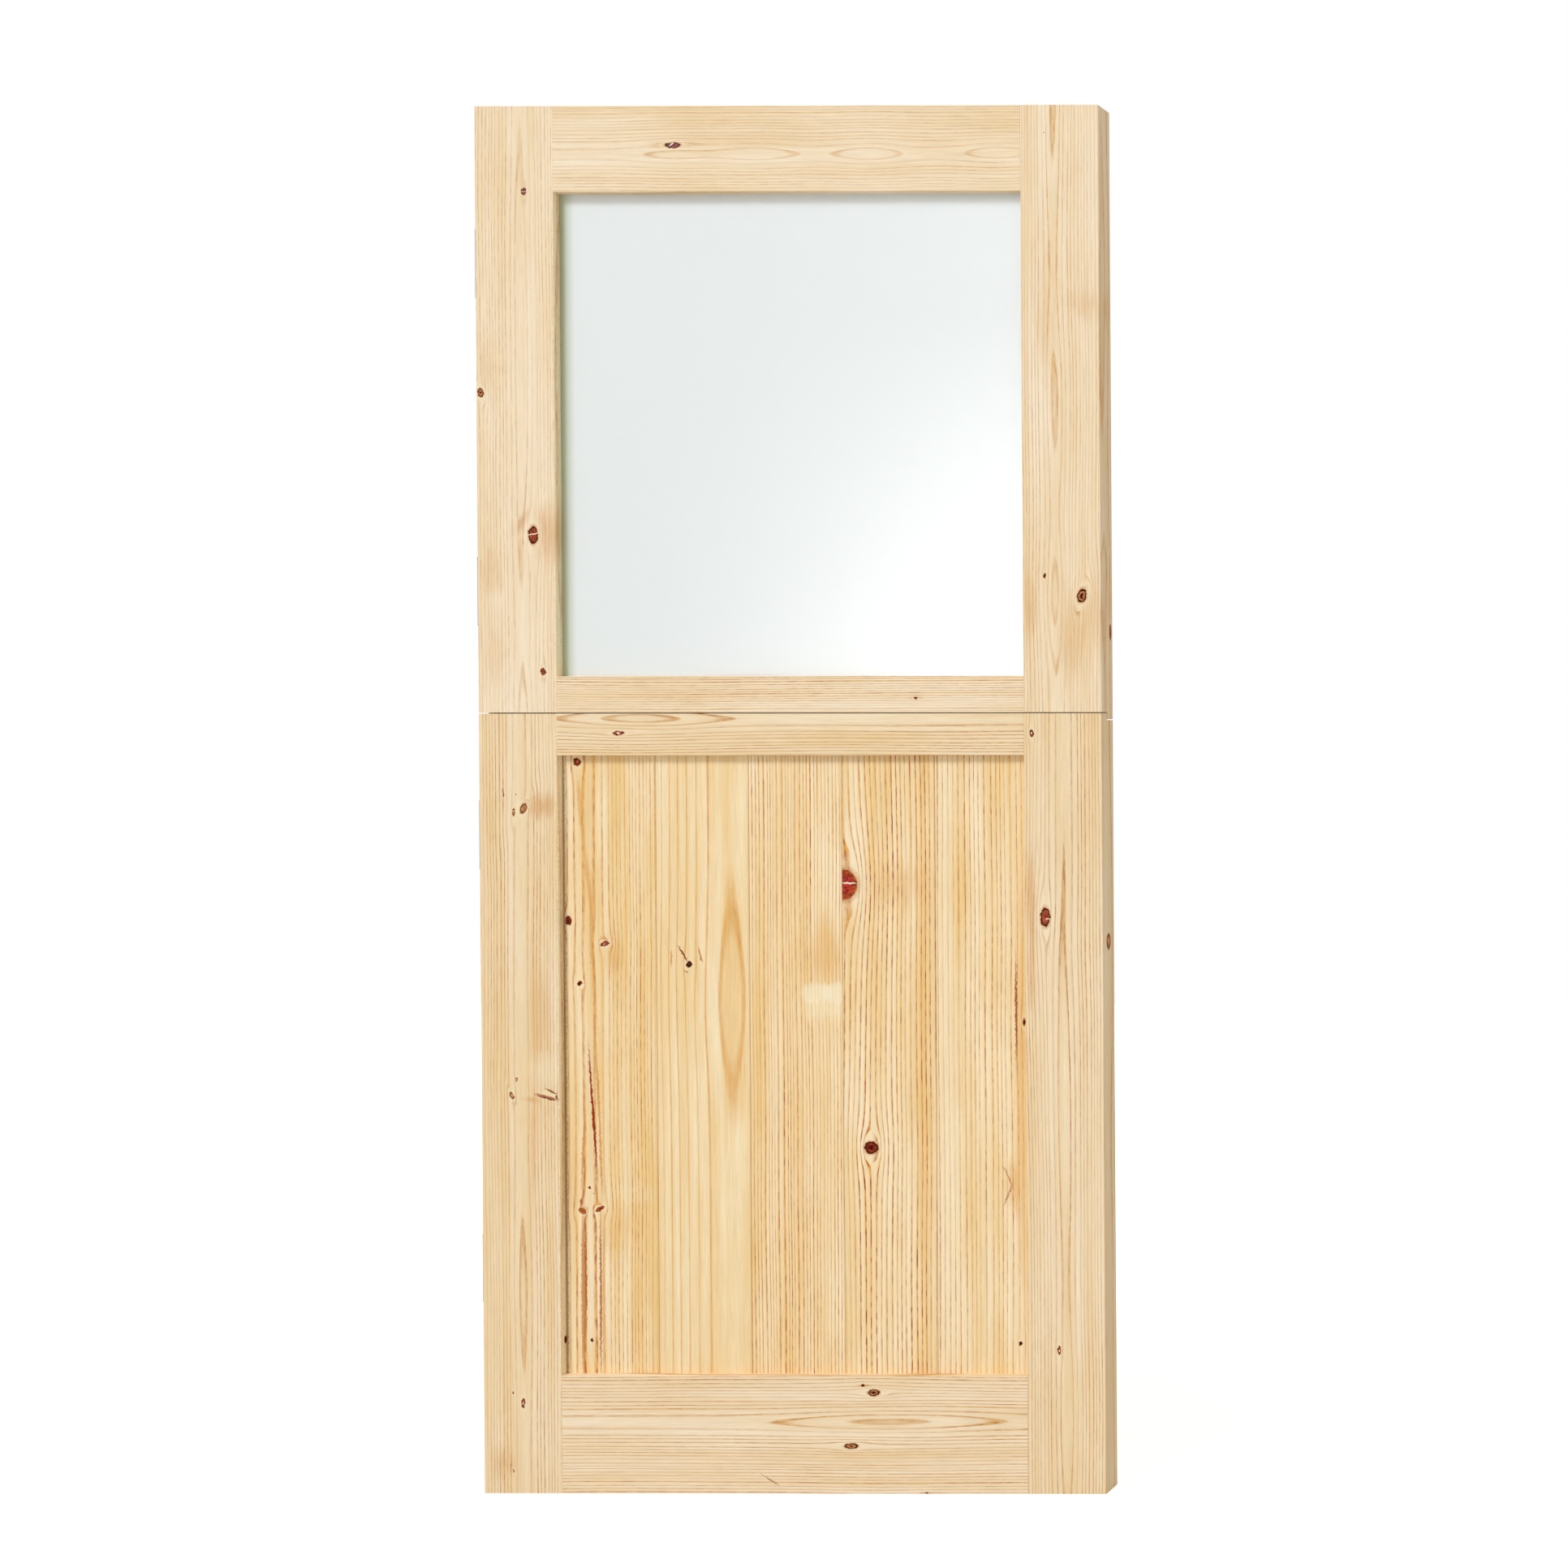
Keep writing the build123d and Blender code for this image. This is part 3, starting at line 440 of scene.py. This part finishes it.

# Satin etched glass: a milky white that light comes through without a picture. Its colour holds painted
# light for the room behind it, darker at its upper left and white at its lower right, and a painted shadow
# of the stile greens a strip at its left edge. How much light passes follows the same painted gradient.
etched, tree, shader = started("satin_etched_glass")
at = node(tree, "ShaderNodeTexCoord").outputs["Object"]
axes = node(tree, "ShaderNodeSeparateXYZ", (at,)).outputs
# Painted light: a gradient from dim at the upper left to bright at the lower right, laid into the colour and
# the transmission
rightward = node(tree, "ShaderNodeMapRange", {0: axes["X"], 1: PAINTED_DIM_SIDE, 2: PAINTED_BRIGHT_SIDE})
downward = node(tree, "ShaderNodeMapRange", {0: axes["Z"], 1: PAINTED_DIM_ABOVE, 2: PAINTED_BRIGHT_BELOW, 3: 0.36, 4: 1.28})
painted_light = node(tree, "ShaderNodeMath", (rightward, downward), operation="MULTIPLY", use_clamp=True)
haze_with_painted_light = node(tree, "ShaderNodeMix", {0: painted_light, 6: linear("#F2F7F9"), 7: linear("#FFFFFF")}, data_type="RGBA")
# Painted shadow: a green-grey strip some 20 mm wide darkens the pane beside the left stile
painted_shadow_mask = node(tree, "ShaderNodeMapRange", {0: axes["X"], 1: PAINTED_SHADOW_INSIDE, 2: PAINTED_SHADOW_EDGE})
painted_shadow = node(tree, "ShaderNodeMix", {0: painted_shadow_mask, 6: grey(1.0), 7: linear("#C2C9A6")}, data_type="RGBA")
haze_with_painted_light = node(tree, "ShaderNodeMix", {0: 1.0, 6: haze_with_painted_light, 7: painted_shadow}, data_type="RGBA", blend_type="MULTIPLY")
passing = node(tree, "ShaderNodeMapRange", {0: painted_light, 3: 0.16, 4: 0.74})
etching = node(tree, "ShaderNodeTexNoise", {"Vector": at, "Scale": 900.0, "Detail": 2.0})
pitted = node(tree, "ShaderNodeBump", {"Strength": 0.08, "Distance": 0.0002, "Height": etching})
tree.links.new(haze_with_painted_light.outputs[2], shader.inputs["Base Color"])
tree.links.new(pitted.outputs[0], shader.inputs["Normal"])
shader.inputs["Roughness"].default_value = 0.4
shader.inputs["IOR"].default_value = GLASS_IOR
tree.links.new(passing.outputs[0], shader.inputs["Transmission Weight"])
finish_with("frosted_pane", etched)

# Clear float glass: perfectly smooth, with a faint green cast. A lamp's light goes straight through it, so it
# throws no shadow on the haze.
float_glass, tree, shader = started("clear_float_glass")
shader.inputs["Base Color"].default_value = linear("#F8FBF9")
shader.inputs["Roughness"].default_value = 0.0
shader.inputs["IOR"].default_value = GLASS_IOR
shader.inputs["Transmission Weight"].default_value = 1.0
lamp_light = node(tree, "ShaderNodeBsdfTransparent", (linear("#F8FBF9"),))
is_lamp = node(tree, "ShaderNodeLightPath").outputs["Is Shadow Ray"]
passed = node(tree, "ShaderNodeMixShader", (is_lamp, shader, lamp_light))
tree.links.new(passed.outputs[0], tree.nodes["Material Output"].inputs["Surface"])
finish_with("rear_pane", float_glass)

# Mill aluminium: the spacer is a roll-formed bar, so its dull pale metal has fine lines from the rolls, 4 mm
# long and 0.4 mm apart
spacer, tree, shader = started("mill_aluminium")
at = node(tree, "ShaderNodeTexCoord").outputs["Object"]
rolled = node(tree, "ShaderNodeVectorMath", (at, (250.0, 2500.0, 250.0)), operation="MULTIPLY")
rolled = node(tree, "ShaderNodeTexNoise", {"Vector": rolled, "Scale": 1.0, "Detail": 3.0})
sheen = node(tree, "ShaderNodeMapRange", {0: rolled, 1: 0.3, 2: 0.7, 3: 0.28, 4: 0.45})
metal = node(tree, "ShaderNodeValToRGB", (rolled,), stops=(
    (0.3, linear("#BFC3C5")), (0.7, linear("#D6D9DB")),
))
tree.links.new(metal.outputs[0], shader.inputs["Base Color"])
tree.links.new(sheen.outputs[0], shader.inputs["Roughness"])
shader.inputs["Metallic"].default_value = 1.0
finish_with("pane_spacer", spacer)


def black_rubber(name, colour, roughness, grit):
    """Matt black rubber, a little dusty, whose surface is rough at one grit, in metres."""
    material, tree, shader = started(name)
    at = node(tree, "ShaderNodeTexCoord").outputs["Object"]
    grain = node(tree, "ShaderNodeTexNoise", {"Vector": at, "Scale": 1 / grit, "Detail": 3.0})
    bump = node(tree, "ShaderNodeBump", {"Strength": 0.3, "Distance": 0.0003, "Height": grain})
    dusty = node(tree, "ShaderNodeMix", {0: grain, 6: linear(colour), 7: linear("#3A3936")}, data_type="RGBA")
    tree.links.new(dusty.outputs[2], shader.inputs["Base Color"])
    tree.links.new(bump.outputs[0], shader.inputs["Normal"])
    shader.inputs["Roughness"].default_value = roughness
    return material


finish_with("pane_seal", black_rubber("polysulphide_sealant", "#1B1C1D", 0.7, 0.004))
finish_with("setting_blocks", black_rubber("rubber_setting_block", "#161616", 0.8, 0.0015))

# The beads' pins
# Small oval-headed steel pins hold each glazing bead, four to a side, driven through the bead's rear face and
# left just proud of it.
PIN_HEAD = 0.0018
PIN_DEPTH = 0.002
PIN_RISE = 0.0002
PIN_ROUNDING = 0.00018
PIN_SET_IN = 0.0045
PIN_SHOULDER = 0.05
PINS_A_SIDE = 4
SMOOTH_UNDER = 35


def alone(thing):
    """Leaves one object selected and active."""
    bpy.ops.object.select_all(action="DESELECT")
    thing.select_set(True)
    bpy.context.view_layer.objects.active = thing


def joined(name, pieces):
    """Joins copies into one named piece whose mesh holds their places."""
    alone(pieces[0])
    for piece in pieces:
        piece.select_set(True)
    bpy.ops.object.join()
    pieces[0].name = pieces[0].data.name = name
    bpy.ops.object.shade_smooth_by_angle(angle=math.radians(SMOOTH_UNDER))
    return pieces[0]


def copied(model, turn):
    """A copy of a model with its own mesh, set in its place."""
    copy = model.copy()
    copy.data = model.data.copy()
    copy.data.transform(turn)
    bpy.context.scene.collection.objects.link(copy)
    return copy


bpy.ops.object.select_all(action="DESELECT")
bpy.ops.mesh.primitive_cylinder_add(vertices=14, radius=PIN_HEAD / 2, depth=PIN_DEPTH,
                                    location=(0, 0, PIN_RISE - PIN_DEPTH / 2))
pin = bpy.context.object
bpy.ops.object.transform_apply()
bpy.ops.object.mode_set(mode="EDIT")
bpy.ops.mesh.select_all(action="SELECT")
bpy.ops.mesh.bevel(offset=PIN_ROUNDING, segments=2, affect="EDGES")
bpy.ops.object.mode_set(mode="OBJECT")
to_the_rear = Matrix.Rotation(math.radians(-90), 4, "X")
pins = []
for side_name in ("bottom", "lock_side", "top", "hinge_side"):
    low, high = (Vector(corner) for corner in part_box(f"glazing_bead_{side_name}"))
    lengthwise = 0 if high.x - low.x > high.z - low.z else 2
    outer = high if side_name in ("top", "lock_side") else low
    inward = -1 if side_name in ("top", "lock_side") else 1
    for row in range(PINS_A_SIDE):
        spot = Vector((outer.x + inward * PIN_SET_IN, high.y, outer.z + inward * PIN_SET_IN))
        first, last = low[lengthwise] + PIN_SHOULDER, high[lengthwise] - PIN_SHOULDER
        spot[lengthwise] = first + (last - first) * row / (PINS_A_SIDE - 1)
        pins.append(copied(pin, Matrix.Translation(spot) @ to_the_rear))
bpy.data.objects.remove(pin)
bead_pins = joined("bead_pins", pins)

# Bright zinc plate: a bluish white metal, cloudy over 2 or 3 mm where the shine differs from place to place
plated, tree, shader = started("bright_zinc_plate")
at = node(tree, "ShaderNodeTexCoord").outputs["Object"]
cloudy = node(tree, "ShaderNodeTexNoise", {"Vector": at, "Scale": 400.0, "Detail": 3.0})
metal = node(tree, "ShaderNodeValToRGB", (cloudy,), stops=(
    (0.3, linear("#B4B6B8")), (0.7, linear("#CFD1D0")),
))
worn = node(tree, "ShaderNodeMapRange", {0: cloudy, 1: 0.3, 2: 0.7, 3: 0.22, 4: 0.42})
tree.links.new(metal.outputs[0], shader.inputs["Base Color"])
tree.links.new(worn.outputs[0], shader.inputs["Roughness"])
shader.inputs["Metallic"].default_value = 1.0
bead_pins.data.materials.clear()
bead_pins.data.materials.append(plated)
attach(bead_pins, "upper_leaf")

# The hinges
# Four-inch butt hinges pressed from steel strip: the leaves' ends are rolled into knuckles round a loose pin,
# then the whole is brushed, so fine scratches run up and down the leaves.

# Brushed steel: a satin grey with scratches 36 mm long and 0.5 mm apart, coarser than the real ones, which
# are too fine to show
brushed, tree, shader = started("brushed_steel")
at = node(tree, "ShaderNodeTexCoord").outputs["Object"]
stroke = node(tree, "ShaderNodeVectorMath", (at, (2200.0, 2200.0, 28.0)), operation="MULTIPLY")
stroke = node(tree, "ShaderNodeTexNoise", {"Vector": stroke, "Scale": 1.0, "Detail": 4.0})
cloudy = node(tree, "ShaderNodeTexNoise", {"Vector": at, "Scale": 60.0, "Detail": 2.0})
both = node(tree, "ShaderNodeMath", (cloudy, 0.2, stroke), operation="MULTIPLY_ADD")
metal = node(tree, "ShaderNodeValToRGB", (both,), stops=(
    (0.4, linear("#A6A6A4")), (0.8, linear("#C4C4C1")),
))
rough = node(tree, "ShaderNodeMapRange", {0: both, 1: 0.4, 2: 0.8, 3: 0.26, 4: 0.4})
scratch = node(tree, "ShaderNodeBump", {"Strength": 0.15, "Distance": 0.0001, "Height": stroke})
tree.links.new(metal.outputs[0], shader.inputs["Base Color"])
tree.links.new(rough.outputs[0], shader.inputs["Roughness"])
tree.links.new(scratch.outputs[0], shader.inputs["Normal"])
shader.inputs["Metallic"].default_value = 1.0
for number in range(1, 5):
    for part in ("stile_leaf", "jamb_leaf", "pin", "tip"):
        finish_with(f"hinge_{number}_{part}", brushed)

# The hinge screws
# Countersunk wood screws of plated steel with a cross recess, one inch long. The thread is cut below the
# plain shank and runs to the point. The tapers are the share of its width that the recess keeps at its foot
# and the screw at its point.
SCREW_LENGTH = 0.0254
SCREW_HEAD = 0.0082
SCREW_SHANK = 0.0042
SCREW_CORE = 0.0030
SCREW_PITCH = 0.0015
HEAD_DEPTH = 0.0023
PLAIN_SHANK = 0.0090
POINT_LENGTH = 0.0060
RECESS_DEPTH = 0.0020
RECESS_SPAN = 0.0044
RECESS_WIDTH = 0.0010
RECESS_TAPER = 0.45
POINT_TAPER = 0.05
THREAD_HALF_FOOT = SCREW_PITCH * 0.3
THREAD_SINK = 0.0001
THREAD_STEPS = 14


def drawn_on(length, width):
    """Extrudes a screw's selected face by a length and brings it to a width, as a share of what it was."""
    bpy.ops.mesh.extrude_region_move(TRANSFORM_OT_translate={"value": (0, 0, -length)})
    bpy.ops.transform.resize(value=(width, width, 1))


bpy.ops.object.select_all(action="DESELECT")
bpy.ops.mesh.primitive_circle_add(vertices=24, radius=SCREW_HEAD / 2, fill_type="NGON")
screw = bpy.context.object
bpy.ops.object.mode_set(mode="EDIT")
bpy.ops.mesh.select_all(action="SELECT")
drawn_on(HEAD_DEPTH, SCREW_SHANK / SCREW_HEAD)
drawn_on(PLAIN_SHANK - HEAD_DEPTH, 1)
drawn_on(SCREW_PITCH / 2, SCREW_CORE / SCREW_SHANK)
drawn_on(SCREW_LENGTH - PLAIN_SHANK - SCREW_PITCH / 2 - POINT_LENGTH, 1)
drawn_on(POINT_LENGTH, POINT_TAPER)
bpy.ops.mesh.select_all(action="SELECT")
bpy.ops.mesh.normals_make_consistent()
bpy.ops.object.mode_set(mode="OBJECT")

# The cross recess is two tapered bars, cut away from the head
bars = []
for turn in (0, 90):
    bpy.ops.object.select_all(action="DESELECT")
    bpy.ops.mesh.primitive_cube_add(size=1.0)
    bar = bpy.context.object
    bar.scale = (RECESS_SPAN, RECESS_WIDTH, RECESS_DEPTH * 2)
    bar.rotation_euler = (0, 0, math.radians(turn))
    bpy.ops.object.transform_apply()
    for corner in bar.data.vertices:
        if corner.co.z < 0:
            corner.co.x *= RECESS_TAPER if turn == 0 else 1.0
            corner.co.y *= RECESS_TAPER if turn == 90 else 1.0
    bars.append(bar)
alone(screw)
for bar in bars:
    recess = screw.modifiers.new("recess", "BOOLEAN")
    recess.operation = "DIFFERENCE"
    recess.object = bar
    bpy.ops.object.modifier_apply(modifier="recess")
    bpy.data.objects.remove(bar)

# The thread is one ridge, turned about the axis and raised by its pitch each turn
turns = int((SCREW_LENGTH - PLAIN_SHANK - POINT_LENGTH) / SCREW_PITCH)
low_level = -SCREW_LENGTH + POINT_LENGTH - SCREW_PITCH / 2
bpy.ops.object.select_all(action="DESELECT")
bpy.ops.mesh.primitive_circle_add(vertices=3, radius=SCREW_PITCH / 2, rotation=(math.radians(90), 0, 0))
thread = bpy.context.object
bpy.ops.object.transform_apply()
root, crest = SCREW_CORE / 2 - THREAD_SINK, SCREW_SHANK / 2
profile = ((crest, 0), (root, THREAD_HALF_FOOT), (root, -THREAD_HALF_FOOT))
for corner, (x, z) in zip(thread.data.vertices, profile):
    corner.co = (x, 0, low_level + z)
winding = thread.modifiers.new("winding", "SCREW")
winding.screw_offset = SCREW_PITCH
winding.iterations = turns
winding.steps = winding.render_steps = THREAD_STEPS
alone(thread)
bpy.ops.object.modifier_apply(modifier="winding")
bpy.ops.object.mode_set(mode="EDIT")
bpy.ops.mesh.select_all(action="DESELECT")
bpy.ops.mesh.select_non_manifold()
bpy.ops.mesh.edge_face_add()
bpy.ops.mesh.select_all(action="SELECT")
bpy.ops.mesh.normals_make_consistent()
bpy.ops.object.mode_set(mode="OBJECT")
screw = joined("hinge_screw", [screw, thread])

# The heads lie in the face of the stile's leaf, half the hinge's gap from the pins' line. HOLES gives each
# pair of holes its distance in front of that line and its spacing. CLOCKING is the angle from one screw's
# recess to the next one's, in radians.
HALF_GAP = 0.001
HOLES = ((0.039, 0.0762), (0.024, 0.0254))
CLOCKING = 1.3
for leaf_name, hinge_numbers in (("upper", (1, 2)), ("lower", (3, 4))):
    screws = []
    for number in hinge_numbers:
        low, high = (Vector(corner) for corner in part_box(f"hinge_{number}_stile_leaf"))
        pin_low, pin_high = (Vector(corner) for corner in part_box(f"hinge_{number}_pin"))
        pin_middle = (pin_low.x + pin_high.x) / 2
        pin_line = (pin_low.y + pin_high.y) / 2
        middle = (low.z + high.z) / 2
        for reach, spacing in HOLES:
            for sense in (-1, 1):
                spot = Vector((pin_middle + HALF_GAP, pin_line - reach, middle + sense * spacing / 2))
                clocking = Matrix.Rotation(CLOCKING * len(screws), 4, "X")
                turn = clocking @ Matrix.Rotation(math.radians(-90), 4, "Y")
                screws.append(copied(screw, Matrix.Translation(spot) @ turn))
    group = joined(f"{leaf_name}_leaf_screws", screws)
    group.data.materials.clear()
    group.data.materials.append(plated)
    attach(group, f"{leaf_name}_leaf")
    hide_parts(f"{leaf_name}_hinge_screws")
bpy.data.objects.remove(screw)

# The studio
# Broad light from the upper left in front, another from behind, and a white room that is brighter in front of
# the door than behind it. All are far off, so the door is lit alike all over.
LAMP_COLOUR = (0.9, 0.94, 1.0)
ROOM_STRENGTH = 0.755
GLARE = 0.53
lights = {
    "front_light": ((-2.2, -4.6, 4.2), 18.0, 1.6),
    "rear_light": ((0.0, 3.0, 2.4), 40.0, 1.6),
}
for name, (way, spread, power) in lights.items():
    lamp = bpy.data.lights.new(name, "SUN")
    lamp.angle = math.radians(spread)
    lamp.energy = power
    lamp.color = LAMP_COLOUR
    holder = bpy.data.objects.new(name, lamp)
    holder.location = way
    holder.rotation_euler = (-Vector(way)).to_track_quat("-Z", "Y").to_euler()
    bpy.context.scene.collection.objects.link(holder)


def looking(tree, path):
    """Is 1 for a ray that shows the place, directly, in a gloss or through glass, and 0 for one of light."""
    seen = node(tree, "ShaderNodeMath", (path["Is Camera Ray"], path["Is Glossy Ray"]), operation="MAXIMUM")
    return node(tree, "ShaderNodeMath", (seen, path["Is Transmission Ray"]), operation="MAXIMUM")


# The room's walls are seen as plain white, and more than white through the glass towards the rear, but light
# the door with tints of their own: nearly white in front, warmer and dimmer behind
room = bpy.data.worlds.new("white_room")
bpy.context.scene.world = room
room.use_nodes = True
tree = room.node_tree
tree.nodes.clear()
path = node(tree, "ShaderNodeLightPath").outputs
seen = looking(tree, path)
way = node(tree, "ShaderNodeTexCoord").outputs["Generated"]
rearward = node(tree, "ShaderNodeSeparateXYZ", (way,)).outputs["Y"]
rearward = node(tree, "ShaderNodeMapRange", {0: rearward, 1: -1.0, 2: 1.0})
wall = node(tree, "ShaderNodeValToRGB", (rearward,), stops=(
    (0.0, linear("#FBFCF6")), (1.0, linear("#B2A389")), (0.5, linear("#DCCAAA")),
))
lit = node(tree, "ShaderNodeBackground", (wall, ROOM_STRENGTH))
glare = node(tree, "ShaderNodeMath", (path["Is Transmission Ray"], rearward), operation="MULTIPLY")
glare = node(tree, "ShaderNodeMath", (glare, GLARE, 1.0), operation="MULTIPLY_ADD")
shown = node(tree, "ShaderNodeBackground", (grey(1.0), glare))
both = node(tree, "ShaderNodeMixShader", (seen, lit, shown))
node(tree, "ShaderNodeOutputWorld", (both,))

# The floor is matt, and seen it glows as well, more so away from the door, so it fades into the white room
FLOOR_SIZE = 12.0
FADE_FROM, FADE_TO = 0.6, 2.5
bpy.ops.object.select_all(action="DESELECT")
bpy.ops.mesh.primitive_plane_add(size=FLOOR_SIZE, location=(0.0, 0.0, 0.0))
floor = bpy.context.object
floor.name = "floor"
white, tree, _ = started("white_floor")
tree.nodes.clear()
seen = looking(tree, node(tree, "ShaderNodeLightPath").outputs)
at = node(tree, "ShaderNodeTexCoord").outputs["Object"]
distance = node(tree, "ShaderNodeVectorMath", (at,), operation="LENGTH").outputs["Value"]
glow_by = node(tree, "ShaderNodeMapRange", {0: distance, 1: FADE_FROM, 2: FADE_TO, 3: 0.6, 4: 0.95})
glow_by = node(tree, "ShaderNodeMath", (glow_by, seen), operation="MULTIPLY")
matt = node(tree, "ShaderNodeBsdfDiffuse", {"Color": grey(0.6)})
glow = node(tree, "ShaderNodeEmission", {"Color": grey(1.0), "Strength": glow_by})
both = node(tree, "ShaderNodeAddShader", (matt, glow))
node(tree, "ShaderNodeOutputMaterial", (both,))
floor.data.materials.append(white)

# The camera stands well to the right of the door and faces it squarely, as a view camera with its back
# parallel to the door does, so the front face stays a true rectangle while the right edge shows. Its place,
# lens and slightly slanted axes were fitted to the door's corners in the photo.
LENS = 58.1013
camera_place = Vector((1.70036, -3.30703, 1.10781))
aimed_at = Vector((-0.00926, -0.022225, 1.04067))
across = Vector((1.0, 0.0064, -0.0008)).normalized()
upright = Vector((0.0038, 0.0059, 1.0)).normalized()
away = (camera_place - aimed_at).normalized()
back = Matrix((across, upright, away)).transposed().to_4x4()
back.translation = camera_place
camera = bpy.data.objects.new("camera", bpy.data.cameras.new("camera"))
camera.data.lens = LENS
stand = bpy.data.objects.new("camera_stand", None)
for thing in (camera, stand):
    bpy.context.scene.collection.objects.link(thing)
camera.parent = stand
camera.matrix_parent_inverse = back
bpy.context.scene.camera = camera

bpy.context.scene.view_settings.view_transform = "Standard"
